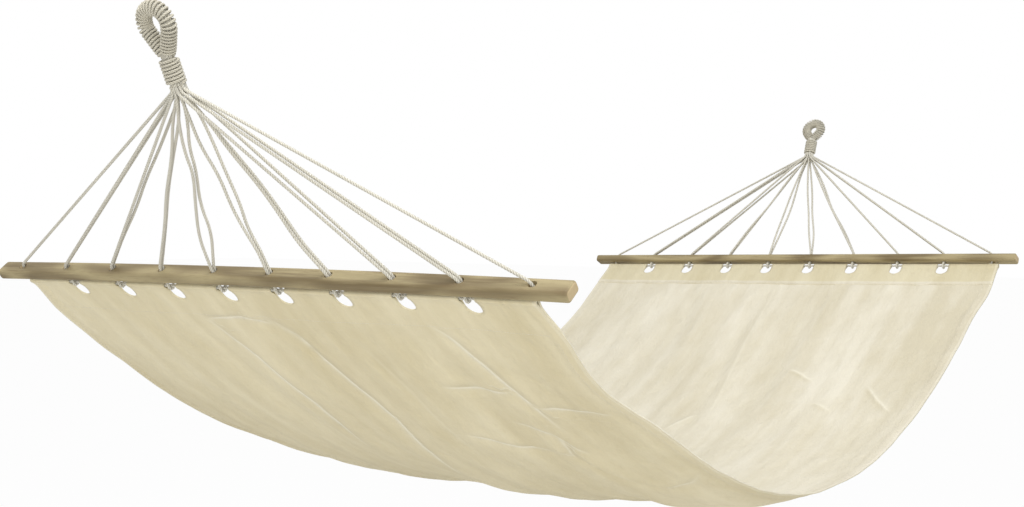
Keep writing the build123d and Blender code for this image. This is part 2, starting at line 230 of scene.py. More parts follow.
class Finish:
    """A material under construction, with a Principled shader at its end."""

    def __init__(self, name, roughness=0.8, sheen=0.0, specular=0.3):
        self.material = bpy.data.materials.new(name)
        self.material.use_nodes = True
        self.tree = self.material.node_tree
        self.tree.nodes.clear()
        self.shader = self.tree.nodes.new("ShaderNodeBsdfPrincipled")
        self.shader.inputs["Roughness"].default_value = roughness
        self.shader.inputs["Sheen Weight"].default_value = sheen
        self.shader.inputs["Specular IOR Level"].default_value = specular
        output = self.tree.nodes.new("ShaderNodeOutputMaterial")
        self.tree.links.new(self.shader.outputs[0], output.inputs["Surface"])

    def feed(self, socket, value):
        if isinstance(value, Link):
            self.tree.links.new(value.socket, socket)
        else:
            socket.default_value = value

    def add(self, kind, settings=None, sockets=None, out=0):
        node = self.tree.nodes.new(kind)
        for key, value in (settings or {}).items():
            if key == "stops":
                for place, colour in value[2:]:
                    node.color_ramp.elements.new(place)
                for element, (place, colour) in zip(node.color_ramp.elements, value):
                    element.position, element.color = place, (*colour, 1)
            else:
                setattr(node, key, value)
        for key, value in (sockets or {}).items():
            self.feed(node.inputs[key], value)
        return Link(self, node.outputs[out])

    def mix(self, share, first, second, how="MIX"):
        """Two colours mixed; in a Mix node they are sockets 6 and 7, and the result is output 2."""
        first, second = ((*c, 1) if isinstance(c, tuple) else c for c in (first, second))
        return self.add("ShaderNodeMix", {"data_type": "RGBA", "blend_type": how},
                        {0: share, 6: first, 7: second}, out=2)

    def noise(self, place, scale, detail=2.0, roughness=0.5):
        sockets = {"Vector": place, "Scale": scale, "Detail": detail, "Roughness": roughness}
        return self.add("ShaderNodeTexNoise", None, sockets)

    def stretched(self, place, scale):
        return self.add("ShaderNodeMapping", None, {"Vector": place, "Scale": scale})

    def attribute(self, name, out=2):
        """Output 1 of an Attribute node is its vector and output 2 its number."""
        return self.add("ShaderNodeAttribute", {"attribute_name": name}, None, out)

    def parts(self, vector):
        return [self.add("ShaderNodeSeparateXYZ", None, {0: vector}, out) for out in range(3)]

    def ramp(self, value, *stops):
        """A colour for each number; a stop is a place from 0 to 1 and its colour."""
        return self.add("ShaderNodeValToRGB", {"stops": stops}, {0: value})

    def bump(self, height, distance, strength=1.0, below=None):
        sockets = {"Height": height, "Distance": distance, "Strength": strength}
        if below:
            sockets["Normal"] = below
        return self.add("ShaderNodeBump", None, sockets)

    def end(self, colour, roughness=None, normal=None):
        self.feed(self.shader.inputs["Base Color"], colour)
        if roughness:
            self.feed(self.shader.inputs["Roughness"], roughness)
        if normal:
            self.feed(self.shader.inputs["Normal"], normal)
        return self.material


print("material tools are ready")

# %% [markdown]
# The cotton of the cords
#
# The cords are three-strand cotton, a little hairy. Their grooves get painted shade, greyer and darker than
# the paler crowns. The cord's mesh carries two numbers, "lobe", which is 1 on a strand's crown and 0 in a
# groove, and "along", the distance along the cord, so the colour follows the twist wherever the cord goes.


# %% Cord cotton
def cord_cotton(name, crown, groove_shade, tint_scale=9.0):
    finish = Finish(name, roughness=0.9, sheen=0.15)
    place = finish.add("ShaderNodeTexCoord", None, None, out=3)
    lobe = finish.attribute("lobe")
    along = finish.attribute("along")
    fibres = finish.noise(place, 900.0, 3.0, 0.6)
    patches = finish.noise(place, tint_scale, 2.0)
    yarns = ((along * 4200.0 + lobe * 5.0).sine() * 0.5 + 0.5) * lobe
    height = (lobe ** 1.4) * 0.8 + fibres * 0.25 + patches * 0.35 - 0.12
    # painted shade: the ramp darkens the grooves between the strands, mixed with random tint
    colour = finish.ramp(height, (0.12, groove_shade), (0.95, crown))
    normal = finish.bump(yarns * 0.6 + fibres, 0.0003, 0.6)
    return finish.end(colour, normal=normal)


# the second colour of each is the painted shade of the grooves between the strands
COTTON = cord_cotton("cotton cord", (0.78, 0.755, 0.67), (0.46, 0.435, 0.36))
SERVING_COTTON = cord_cotton("serving cotton", (0.74, 0.705, 0.60), (0.36, 0.335, 0.26), 30.0)
print("cord finishes:", COTTON.name, "and", SERVING_COTTON.name)

# %% [markdown]
# One tree that lays any cord
#
# A laid cord is three strands twisted round each other. Geometry Nodes sweep a three-lobed profile along
# the cord's line, and tilt it steadily, one turn for each lay length. The same tree makes the suspension
# cords, the bundle in the eyes and every winding; only its sizes differ.


# %% The laid cord tree
def add_node(tree, kind, settings=None, sockets=None):
    """A node of a Geometry Nodes tree; a socket is given a number or another node's output."""
    node = tree.nodes.new(kind)
    for key, value in (settings or {}).items():
        setattr(node, key, value)
    for key, value in (sockets or {}).items():
        if isinstance(value, bpy.types.NodeSocket):
            tree.links.new(value, node.inputs[key])
        else:
            node.inputs[key].default_value = value
    return node


def number(tree, operation, *values):
    node = add_node(tree, "ShaderNodeMath", {"operation": operation}, dict(enumerate(values)))
    return node.outputs[0]


def new_tree(name, inputs):
    """An empty tree with a geometry input, named inputs and a geometry output."""
    tree = bpy.data.node_groups.new(name, "GeometryNodeTree")
    tree.interface.new_socket("Geometry", in_out="INPUT", socket_type="NodeSocketGeometry")
    for label, kind in inputs:
        tree.interface.new_socket(label, in_out="INPUT", socket_type=f"NodeSocket{kind}")
    tree.interface.new_socket("Geometry", in_out="OUTPUT", socket_type="NodeSocketGeometry")
    return tree, tree.nodes.new("NodeGroupInput").outputs


def close_tree(tree, geometry, material):
    real = add_node(tree, "GeometryNodeRealizeInstances", None, {0: geometry})
    dressed = add_node(tree, "GeometryNodeSetMaterial", None,
                       {"Geometry": real.outputs[0], "Material": material})
    tree.links.new(dressed.outputs[0], tree.nodes.new("NodeGroupOutput").inputs[0])


POINTS_PER_STRAND = 4
GROOVE_DEPTH = 0.28     # of the cord's radius


def laid_cord_tree():
    sizes = [("Diameter", "Float"), ("Lay length", "Float"), ("Ring spacing", "Float"), ("Strands", "Int")]
    tree, given = new_tree("laid cord", sizes + [("Material", "Material")])
    line = add_node(tree, "GeometryNodeResampleCurve", {"mode": "LENGTH"},
                    {"Curve": given["Geometry"], "Length": given["Ring spacing"]})
    along = add_node(tree, "GeometryNodeSplineParameter").outputs["Length"]
    turns = number(tree, "DIVIDE", along, given["Lay length"])
    twisted = add_node(tree, "GeometryNodeSetCurveTilt", None,
                       {"Curve": line.outputs[0], "Tilt": number(tree, "MULTIPLY", turns, 2 * pi)})
    on_points = {"data_type": "FLOAT", "domain": "POINT"}
    marked = add_node(tree, "GeometryNodeStoreNamedAttribute", on_points,
                      {"Geometry": twisted.outputs[0], "Name": "along", "Value": along})
    rim = number(tree, "MULTIPLY", given["Strands"], POINTS_PER_STRAND)
    circle = add_node(tree, "GeometryNodeCurvePrimitiveCircle", {"mode": "RADIUS"},
                      {"Resolution": rim, "Radius": number(tree, "MULTIPLY", given["Diameter"], 0.5)})
    index = add_node(tree, "GeometryNodeInputIndex").outputs[0]
    wave = number(tree, "COSINE", number(tree, "MULTIPLY", index, pi / POINTS_PER_STRAND))
    lobe = number(tree, "ABSOLUTE", wave)
    inward = number(tree, "MULTIPLY", number(tree, "SUBTRACT", 1.0, lobe), GROOVE_DEPTH)
    place = add_node(tree, "GeometryNodeInputPosition").outputs[0]
    drawn = add_node(tree, "ShaderNodeVectorMath", {"operation": "SCALE"},
                     {0: place, "Scale": number(tree, "SUBTRACT", 1.0, inward)})
    lobed = add_node(tree, "GeometryNodeSetPosition", None,
                     {"Geometry": circle.outputs["Curve"], "Position": drawn.outputs[0]})
    profile_line = add_node(tree, "GeometryNodeStoreNamedAttribute", on_points,
                            {"Geometry": lobed.outputs[0], "Name": "lobe", "Value": lobe})
    skin = add_node(tree, "GeometryNodeCurveToMesh", None,
                    {"Curve": marked.outputs[0], "Profile Curve": profile_line.outputs[0], "Fill Caps": True})
    smooth = add_node(tree, "GeometryNodeSetShadeSmooth", None, {0: skin.outputs[0]})
    close_tree(tree, smooth.outputs[0], given["Material"])
    return tree


LAID_CORD = laid_cord_tree()


def made_by(tree, source, name, **inputs):
    """Runs a tree on an object and returns the result as a plain mesh object; the source goes."""
    modifier = source.modifiers.new("making", "NODES")
    modifier.node_group = tree
    for item in tree.interface.items_tree:
        if item.in_out == "INPUT" and item.name in inputs:
            modifier[item.identifier] = inputs[item.name]
    ready = source.evaluated_get(bpy.context.evaluated_depsgraph_get())
    mesh = bpy.data.meshes.new_from_object(ready)
    bpy.data.objects.remove(source)
    piece = bpy.data.objects.new(name, mesh)
    mesh.name = name
    scene.collection.objects.link(piece)
    return piece


def smooth_line(points, kind="NURBS"):
    """A curve object of one open spline with these control points."""
    data = bpy.data.curves.new("line", "CURVE")
    data.dimensions = "3D"
    spline = data.splines.new(kind)
    spline.points.add(len(points) - 1)
    for control, place in zip(spline.points, points):
        control.co = (*place, 1)
    spline.order_u = 3
    spline.use_endpoint_u = True
    line = bpy.data.objects.new("line", data)
    scene.collection.objects.link(line)
    return line


def points_of(line):
    """The places that Blender itself works out along a curve without a bevel."""
    bare = bpy.data.meshes.new_from_object(line.evaluated_get(bpy.context.evaluated_depsgraph_get()))
    places = [vertex.co.copy() for vertex in bare.vertices]
    bpy.data.meshes.remove(bare)
    return places


def lay_cord(name, line, diameter, material, lay=2.9, spacing=0.36, strands=3):
    """Lay length and ring spacing are given in diameters."""
    return made_by(LAID_CORD, line, name, **{
        "Diameter": diameter * NAP, "Lay length": lay * diameter, "Ring spacing": spacing * diameter,
        "Strands": strands, "Material": material})


print("laid cord tree:", len(LAID_CORD.nodes), "nodes")

# %% [markdown]
# The routes of the cords
#
# Each suspension cord starts in the throat, goes down to its hole, through the bar, round the hem cord in
# its notch, and back up through the same hole: two legs of one cord. The hem cord has a single leg at each
# side and runs through the cloth's tunnel. The routes are lists of control points; the tight outer legs get
# one more point close to each hard corner, so that the smooth line turns there and not half way along.

# %% Cord routes
SLOTS = {(1, "a"): (-4, 0), (2, "a"): (-3, -1), (2, "b"): (-3, 1), (3, "a"): (-2, -2), (3, "b"): (-2, 2),
         (4, "a"): (-1, -1), (4, "b"): (-2, 0), (5, "a"): (0, -2), (5, "b"): (-1, 1)}
FIRST_DROP, DROP_STEP = 0.006, 0.0015


def slot(hole, leg):
    """The place of a leg in the throat: across, side and the straight run below."""
    if hole * 2 > HOLE_COUNT:
        opposite = "a" if leg == "b" or hole == HOLE_COUNT else "b"
        across, side, drop = slot(HOLE_COUNT + 1 - hole, opposite)
        return -across, -side, drop
    column, row = SLOTS[hole, leg]
    return column * SLOT / 2, row * SLOT * sqrt(3) / 2, FIRST_DROP + DROP_STEP * (4 - abs(column))


def leg_points(end, hole, leg):
    """From the throat down to the upper mouth of the hole."""
    x = HOLES[hole - 1]
    gap = 0.0 if hole in (1, HOLE_COUNT) else (-LEG_GAP if leg == "a" else LEG_GAP)
    across, side, drop = slot(hole, leg)
    top, low = end.in_fan(across, side, 0), end.in_fan(across, side, -drop)
    mouth = end.in_bar(x, gap, MOUTH + MOUTH_RISE)
    wander = [mouth + (low - mouth) * share + end.across * (sideways * MM)
              for share, sideways in end.slack.get((hole, leg), [])]
    leg_line = [low] + wander[::-1] + [mouth]
    below = low + (leg_line[1] - low).normalized() * drop
    above = mouth + (leg_line[-2] - mouth).normalized() * BAR_DEPTH
    return [top, low, below] + wander[::-1] + [above, mouth]


def doubled_route(end, hole):
    """Down one leg, through the bar, round the hem cord and up the other leg."""
    x = HOLES[hole - 1]
    corner = LOOP_RADIUS * tan(radians(22.5))
    half_loop = [(LOOP_RADIUS, LOOP_TOP), (LOOP_RADIUS, -corner), (corner, -LOOP_RADIUS)]
    loop = [(-side, height) for side, height in half_loop] + half_loop[::-1]
    round_hem = [end.in_bar(x, side, height - end.bow_at(x)) for side, height in loop]
    down, up = (end.in_bar(x, gap, BAR_LIFT + MOUTH_RISE) for gap in (-LEG_GAP, LEG_GAP))
    return leg_points(end, hole, "a") + [down] + round_hem + [up] + leg_points(end, hole, "b")[::-1]


def hem_route(end):
    """Down the first leg, along the end hem and up the last leg."""
    reach = MOUTH + MOUTH_RISE
    along = [(HOLES[0], 0, 0), (HOLES[0] + reach, 0, 0), (HOLES[-1] - reach, 0, 0), (HOLES[-1], 0, 0)]
    hem = [end.place(*point) for point in along]
    return leg_points(end, 1, "a") + hem + leg_points(end, HOLE_COUNT, "a")[::-1]


def length_of(points):
    return sum((b - a).length for a, b in zip(points, points[1:]))


def hang_cord(end, node, route):
    line = smooth_line(route)
    path = points_of(line)
    piece = lay_cord(f"{node}_laid", line, CORD, COTTON)
    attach(piece, end.body)
    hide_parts(node)
    return f"{node} {length_of(path):.3f} m"


for end in (HEAD, FOOT):
    print(hang_cord(end, f"{end.name}_hem_cord", hem_route(end)))
    for hole in range(2, HOLE_COUNT):
        count = hole if end is HEAD else HOLE_COUNT + 1 - hole
        print(hang_cord(end, f"{end.name}_cord_{count}", doubled_route(end, hole)))

# %% [markdown]
# The eyes
#
# Above the throat the nine cords of an end stay together: up the neck, round the eye and down again, which
# makes eighteen legs in the neck. The whole bundle follows one line, so that line is drawn first. Round the
# top it has the corners of a polygon that the eye's circle touches, and a smooth spline through such
# corners is very nearly that circle.


# %% The eye's line
EYE_BEND = NECK_HEIGHT + 0.003      # where the eye's two limbs start to part
LIMB_START = EYE_BEND - 0.012
EYE_EDGES = 6                       # of the polygon round the top of the eye
EYE_PLACES = 241                    # at equal distances along its line


def eye_controls(end):
    """Across and height of the control points, from the left foot round to the right foot."""
    below = EYE_BEND - end.eye_height
    away = atan2(below, EYE_FOOT) + acos(end.eye_radius / hypot(EYE_FOOT, below))
    step = (pi - 2 * away) / EYE_EDGES
    outer = end.eye_radius / cos(step / 2)
    ring = [(outer * cos(away + step * (k + 0.5)), end.eye_height + outer * sin(away + step * (k + 0.5)))
            for k in range(EYE_EDGES)]
    touch = (end.eye_radius * cos(away), end.eye_height + end.eye_radius * sin(away))
    before = (2 * touch[0] - ring[0][0], 2 * touch[1] - ring[0][1])
    right = [(EYE_FOOT, LIMB_START), (EYE_FOOT, EYE_BEND), before]
    return [(-x, h) for x, h in right] + ring[::-1] + right[::-1]


def evenly(points, count):
    """Places at equal distances along a line of points."""
    places = np.array([tuple(point) for point in points])
    run = np.concatenate([[0], np.cumsum(np.linalg.norm(np.diff(places, axis=0), axis=1))])
    stops = np.linspace(0, run[-1], count)
    return [Vector([np.interp(stop, run, places[:, axis]) for axis in range(3)]) for stop in stops], run[-1]


def eye_line(end):
    line = smooth_line([end.in_fan(x, 0, h) for x, h in eye_controls(end)])
    places = points_of(line)
    bpy.data.objects.remove(line)
    return evenly(places, EYE_PLACES)


def frames_along(places, side):
    """Each place of a line that lies square to side, with its outward direction."""
    result = []
    for k, place in enumerate(places):
        ahead = places[min(k + 1, len(places) - 1)] - places[max(k - 1, 0)]
        result.append((place, side.cross(ahead).normalized()))
    return result


for end in (HEAD, FOOT):
    end.eye, end.eye_length = eye_line(end)
    end.side = (end.in_fan(0, 1, 0) - end.in_fan(0, 0, 0)).normalized()
    print(f"{end.name} eye line {end.eye_length * 1000:.0f} mm")

# %% [markdown]
# The bundle, its serving and its whipping
#
# Nine laid cords fill the eye, one in the middle and eight round it, and spread into the places of their
# legs in the throat. A thinner cord is served round the eye and a thicker one whipped round the neck. A
# winding's line is a helix worked out by a loop, and the same tree gives it its strands. The serving draws
# in over its first and last turns, as a winding does that is pulled tight under its own end.

# %% Eye bundle
LEFT_LEGS = [(1, "a"), (2, "a"), (2, "b"), (3, "a"), (3, "b"), (4, "a"), (4, "b"), (5, "a"), (5, "b")]
BUNDLE_RING = 0.0046    # the eight outer cords' centres round the middle one
NECK_SQUEEZE = 0.77     # the legs are pressed together by the whipping
NECK_STAGES = [(-0.004, 1.0), (0.002, NECK_SQUEEZE), (NECK_HEIGHT * 0.55, NECK_SQUEEZE)]    # height, press
BUNDLE_TWIST = 0.5 * pi     # either way from the eye's top
BUNDLE_START, BUNDLE_STEP = 12, 8   # which places of the eye's line guide the bundle


def bundle_places():
    """For each cord, its leg's place in the throat and its place in the eye's round bundle."""
    places = [slot(*leg)[:2] for leg in LEFT_LEGS]
    count = len(places)
    middle = (sum(x for x, _ in places) / count, sum(y for _, y in places) / count)
    off = [(x - middle[0], y - middle[1]) for x, y in places]
    core = min(range(count), key=lambda k: hypot(*off[k]))
    ring = sorted((k for k in range(count) if k != core), key=lambda k: atan2(off[k][1], off[k][0]))
    result = {core: (places[core], (0.0, 0.0))}
    for turn, k in enumerate(ring):
        angle = -pi + (turn + 0.5) * 2 * pi / len(ring)
        result[k] = (places[k], (BUNDLE_RING * cos(angle), BUNDLE_RING * sin(angle)))
    return [result[k] for k in range(count)]


def bundle_line(end, throat, spot):
    """One cord of the bundle: up its leg's place in the neck, round the eye and down the other side."""
    across, side = throat
    leg = [end.in_fan(across * press, side * press, height) for height, press in NECK_STAGES]
    back = [end.in_fan(-across * press, -side * press, height) for height, press in NECK_STAGES]
    loop = []
    steps = frames_along(end.eye[BUNDLE_START:-BUNDLE_START:BUNDLE_STEP], end.side)
    for k, (place, outward) in enumerate(steps):
        turn = BUNDLE_TWIST * (k / (len(steps) - 1) - 0.5) * 2
        x = spot[0] * cos(turn) - spot[1] * sin(turn)
        y = spot[0] * sin(turn) + spot[1] * cos(turn)
        loop.append(place + outward * -x + end.side * y)
    return leg + loop + back[::-1]


def joined(name, pieces):
    """Several mesh objects as one."""
    with bpy.context.temp_override(active_object=pieces[0], selected_editable_objects=pieces):
        bpy.ops.object.join()
    pieces[0].name = name
    return pieces[0]


def wind(name, places, diameter, material):
    return lay_cord(name, smooth_line(places), diameter, material, lay=2.6, spacing=0.3)


PER_TURN = 16            # control points of a winding
SERVE_PITCH = 0.0043     # the turns lie close, and press into each other on the inside of the bend
SERVE_TAPER = 0.012      # over which the serving draws in at its two ends
SERVE_DRAWN = 0.22       # by this share of its radius
CROTCH = 0.0034          # it starts where a limb's middle is this far from the eye's axis


def serving_places(end):
    radius = EYE_CORE / 2 + WIND_CLEARANCE + (SERVE_CORD + SERVE_NAP) / 2
    middle = len(end.eye) - 1
    axis = end.in_fan(0, 0, 0)
    bare = next(k for k, place in enumerate(end.eye) if abs((place - axis).dot(end.across)) >= CROTCH)
    bare_length = end.eye_length * bare / middle
    turns = int((end.eye_length - 2 * bare_length) / SERVE_PITCH * 2) / 2
    first = (end.eye_length - turns * SERVE_PITCH) / 2
    frames = frames_along(end.eye, end.side)
    result = []
    for k in range(int(turns * PER_TURN) + 1):
        share = (first + k / PER_TURN * SERVE_PITCH) / end.eye_length * middle
        low = int(share)
        place = end.eye[low].lerp(end.eye[low + 1], share - low)
        outward = frames[low][1].lerp(frames[low + 1][1], share - low).normalized()
        angle = 2 * pi * k / PER_TURN
        from_end = min(k, turns * PER_TURN - k) / PER_TURN * SERVE_PITCH
        drawn = SERVE_DRAWN * max(1 - from_end / SERVE_TAPER, 0.0) ** 2
        spoke = outward * cos(angle) + end.side * sin(angle)
        result.append(place + spoke * radius * (1 - drawn) / cos(pi / PER_TURN))
    return result, turns


def whipping_places(end):
    radius = (NECK / 2 + WIND_CLEARANCE + WHIP_CORD / 2) / cos(pi / PER_TURN)
    places = []
    for k in range(WHIP_TURNS * PER_TURN + 1):
        angle, height = 2 * pi * k / PER_TURN, WHIP_START + WHIP_PITCH * k / PER_TURN
        places.append(end.in_fan(radius * cos(angle), radius * sin(angle), height))
    return places


def dress_eye(end):
    cords = []
    for k, spots in enumerate(bundle_places()):
        line = smooth_line(bundle_line(end, *spots))
        cords.append(lay_cord(f"{end.name}_bundle_{k}", line, CORD, COTTON, spacing=0.45))
    served, turns = serving_places(end)
    whipped = whipping_places(end)
    pieces = {
        "eye_core": joined(f"{end.name}_eye_bundle", cords),
        "eye_serving": wind(f"{end.name}_serving_turns", served, SERVE_CORD + SERVE_NAP, SERVING_COTTON),
        "throat_whipping": wind(f"{end.name}_whipping_turns", whipped, WHIP_CORD, SERVING_COTTON),
    }
    for node, piece in pieces.items():
        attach(piece, end.body)
        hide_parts(f"{end.name}_{node}")
    return f"{end.name} eye: {turns} turns of serving, {WHIP_TURNS} of whipping"


for end in (HEAD, FOOT):
    print(dress_eye(end))

# %% [markdown]
# The line of the bed
#
# Seen along the bars, the cloth's sides hang in a curve that is a little fuller towards the head. Distances
# along that curve matter more than level ones, because hems, notches and weave are measured along the
# cloth, so the curve is summed up once and everything after it asks for a place by distance.

# %% The bed's curve
PROFILE_SKEW, PROFILE_SQUARE, PROFILE_FOURTH = -0.071, -0.129, 0.145
STEPS = 800


def side_line(u):
    w = 2 * u - 1
    fullness = 1 + PROFILE_SKEW * w + PROFILE_SQUARE * (w ** 2 - 1 / 3) + PROFILE_FOURTH * (w ** 4 - 1 / 5)
    return SPAN * u, -SAG * 4 * u * (1 - u) * fullness


SHARES = np.linspace(0, 1, STEPS + 1)
RUN_Y, RUN_Z = side_line(SHARES)
RUN = np.concatenate([[0], np.cumsum(np.hypot(np.diff(RUN_Y), np.diff(RUN_Z)))])
BED_LENGTH = float(RUN[-1])


def share_at(s):
    return np.interp(s, RUN, SHARES)


def bed_axes(s):
    """Origin, along, across and upward directions of the cloth at a distance along it."""
    u = share_at(s)
    step = 1e-4
    (y0, z0), (y1, z1) = side_line(u - step), side_line(u + step)
    along = np.stack([np.zeros_like(u), y1 - y0, z1 - z0], axis=-1)
    across = np.stack([np.cos(FOOT_TILT * u), np.zeros_like(u), np.sin(FOOT_TILT * u)], axis=-1)
    along -= across * np.sum(along * across, axis=-1, keepdims=True)
    along /= np.linalg.norm(along, axis=-1, keepdims=True)
    y, z = side_line(u)
    origin = np.stack([np.zeros_like(u), y, z], axis=-1) - np.array(SEAT)
    return origin, along, across, np.cross(across, along)


def on_bed(x, s, lift):
    """Room places of points of the cloth; beyond either end the cloth's line runs straight on."""
    inside = np.clip(s, 0, BED_LENGTH)
    origin, along, across, up = bed_axes(inside)
    return origin + along * (s - inside)[..., None] + across * x[..., None] + up * lift[..., None]


print(f"the bed is {BED_LENGTH:.3f} m along its sides")

# %% [markdown]
# Folds
#
# Canvas that has hung for a while keeps the lines of its pull. Each fold here is a short chain of places,
# across the bed in metres and along it as a share, with a height and a width. The distance of every point
# of the cloth from that chain is signed, left and right of it, so it is exact between the mesh's points
# too: from it the finish draws the crease's thin painted highlight and the painted shade beside it, far
# finer than the mesh.

# %% Folds of the canvas
# chain, height mm, half width mm, how much one flank drops, strength of the drawn crease (its painted
# highlight, the painted shade on its flank, and its bump)
FOLDS = [
    ([(-0.150, 0.020), (-0.114, 0.079), (-0.097, 0.143), (-0.109, 0.240)], 2.4, 11, 0.6, 1.0),
    ([(-0.046, 0.018), (-0.019, 0.030), (0.005, 0.052), (0.014, 0.088), (0.026, 0.164), (-0.012, 0.310)],
     2.8, 12, 0.6, 1.0),
    ([(0.251, 0.020), (0.269, 0.036), (0.285, 0.068), (0.297, 0.103), (0.306, 0.130), (0.318, 0.165)],
     2.6, 11, 0.6, 1.0),
    ([(-0.180, 0.030), (-0.165, 0.110), (-0.155, 0.215)], 3.0, 26, 0.0, 0.0),
    ([(-0.040, 0.022), (-0.002, 0.050), (0.010, 0.075)], 2.2, 18, 0.3, 0.3),
    ([(0.236, 0.060), (0.230, 0.114), (0.218, 0.179), (0.236, 0.240)], 3.0, 22, 0.0, 0.0),
    ([(-0.300, 0.050), (-0.310, 0.160), (-0.330, 0.300)], 2.6, 24, 0.3, 0.0),
    ([(0.110, 0.030), (0.120, 0.110), (0.105, 0.250)], 2.2, 20, 0.3, 0.2),
    ([(-0.148, 0.034), (-0.070, 0.030), (-0.012, 0.040)], 2.6, 9, 0.8, 0.8),
    ([(0.180, 0.100), (0.239, 0.107), (0.300, 0.103)], 2.4, 9, 0.8, 0.9),
    ([(0.130, 0.172), (0.200, 0.196), (0.262, 0.208)], 2.4, 10, 0.8, 0.9),
    ([(0.306, 0.122), (0.364, 0.126), (0.430, 0.125)], 2.4, 9, 0.8, 0.9),
    ([(0.236, 0.150), (0.285, 0.170), (0.320, 0.200)], 2.0, 9, 0.5, 0.8),
    ([(0.222, 0.200), (0.281, 0.212), (0.306, 0.262), (0.348, 0.290), (0.400, 0.276), (0.440, 0.246)],
     4.0, 13, 1.0, 0.7),
    ([(0.290, 0.150), (0.283, 0.215), (0.322, 0.271)], 2.4, 12, 0.5, 0.6),
    ([(0.000, 0.975), (0.006, 0.860), (0.030, 0.760), (0.050, 0.680)], 3.4, 20, 0.9, 0.25),
    ([(0.140, 0.965), (0.139, 0.851), (0.164, 0.700)], 2.8, 22, 0.5, 0.0),
    ([(-0.176, 0.975), (-0.135, 0.902), (-0.125, 0.750)], 2.6, 22, 0.5, 0.0),
    ([(0.290, 0.970), (0.300, 0.860), (0.330, 0.730)], 2.6, 24, 0.3, 0.0),
    ([(-0.300, 0.960), (-0.290, 0.860), (-0.270, 0.740)], 2.2, 24, 0.3, 0.0),
    ([(0.140, 0.812), (0.178, 0.802), (0.215, 0.788)], 2.0, 8, 0.8, 0.8),
    ([(0.325, 0.782), (0.365, 0.752), (0.412, 0.722)], 2.2, 8, 0.8, 0.8),
    ([(0.240, 0.745), (0.290, 0.728)], 1.6, 8, 0.8, 0.5),
    ([(0.014, 0.722), (-0.022, 0.674)], 1.8, 8, 0.8, 0.6),
    ([(-0.060, 0.680), (0.020, 0.648), (0.094, 0.622)], 2.2, 12, 0.8, 0.3),
]
FOLD_RISE = 1.5         # all folds stand this many times their listed height
FLANK_OFF = 1.5         # the dropped flank lies this many half widths beside the fold
FLANK_SHARE = 0.6


def from_chain(chain, x, s):
    """Signed distance from a chain of places, and how far along it, from 0 to 1."""
    places = [(across, float(np.interp(share, SHARES, RUN))) for across, share in chain]
    runs = [hypot(b[0] - a[0], b[1] - a[1]) for a, b in zip(places, places[1:])]
    near, share_along = np.full_like(x, 9.0), np.zeros_like(x)
    for k, (a, b) in enumerate(zip(places, places[1:])):
        dx, ds = (b[0] - a[0]) / runs[k], (b[1] - a[1]) / runs[k]
        reach = np.clip((x - a[0]) * dx + (s - a[1]) * ds, 0, runs[k])
        off_x, off_s = x - a[0] - dx * reach, s - a[1] - ds * reach
        distance = np.hypot(off_x, off_s) * np.where(off_x * ds - off_s * dx < 0, -1, 1)
        closer = np.abs(distance) < np.abs(near)
        near = np.where(closer, distance, near)
        share_along = np.where(closer, (sum(runs[:k]) + reach) / sum(runs), share_along)
    return near, share_along


def ease(value):
    """0 below 0, 1 above 1 and smooth between them."""
    value = np.clip(value, 0, 1)
    return value * value * (3 - 2 * value)


def folded(x, s):
    """Height of all the folds, and the signed distance and strength of the nearest drawn crease."""
    height, nearest, strength = np.zeros_like(x), np.full_like(x, 0.05), np.zeros_like(x)
    for chain, rise, width, flank, drawn in FOLDS:
        distance, share = from_chain(chain, x, s)
        taper = ease(share / 0.25) * ease((1 - share) / 0.3)
        across = distance / (width * MM)
        shape = np.exp(-across ** 2) - flank * FLANK_SHARE * np.exp(-(across - FLANK_OFF) ** 2)
        height += FOLD_RISE * rise * MM * taper * shape
        pull = drawn * taper * ease((0.03 - np.abs(distance)) / 0.012)
        chosen = (pull > 0) & (np.abs(distance) < np.abs(nearest))
        nearest = np.where(chosen, distance, nearest)
        strength = np.where(chosen, pull, strength)
    return height, nearest, strength


print(len(FOLDS), "folds")

# %% [markdown]
# The lie of the cloth
#
# Between the two hems the sheet sags in the middle, bellies a little between the lines of pull, and its
# free edges wander and draw in. All of that is a height above the side's curve and a shift across, both
# smooth functions, to which the folds are added.

# %% Height and shift of the sheet
BAY_SAG = (0.0003, 0.0046)
# height, size across and along, and seed of each layer of soft forms
SOFT_FORMS = [(0.0060, 0.16, 0.42, 11.0), (0.0030, 0.05, 0.16, 23.0), (0.0012, 0.022, 0.05, 31.0)]
# height, place across and half width of the broad bellies past the head end
BELLIES = [(0.007, -0.10, 0.09), (-0.005, -0.33, 0.09), (-0.010, 0.34, 0.10)]
HEM_DRAW = 0.014        # the head hem pulls the cloth's two corners in by this much


def soft_noise(x, s, across, along, seed):
    """Smooth noise with its own size across and along the bed."""
    flat = zip(np.ravel(x) / across, np.ravel(s) / along)
    return np.array([noise.noise(Vector((a, b, seed))) for a, b in flat]).reshape(np.shape(x))


def hump(value, centre, width):
    return np.exp(-((value - centre) / width) ** 2)


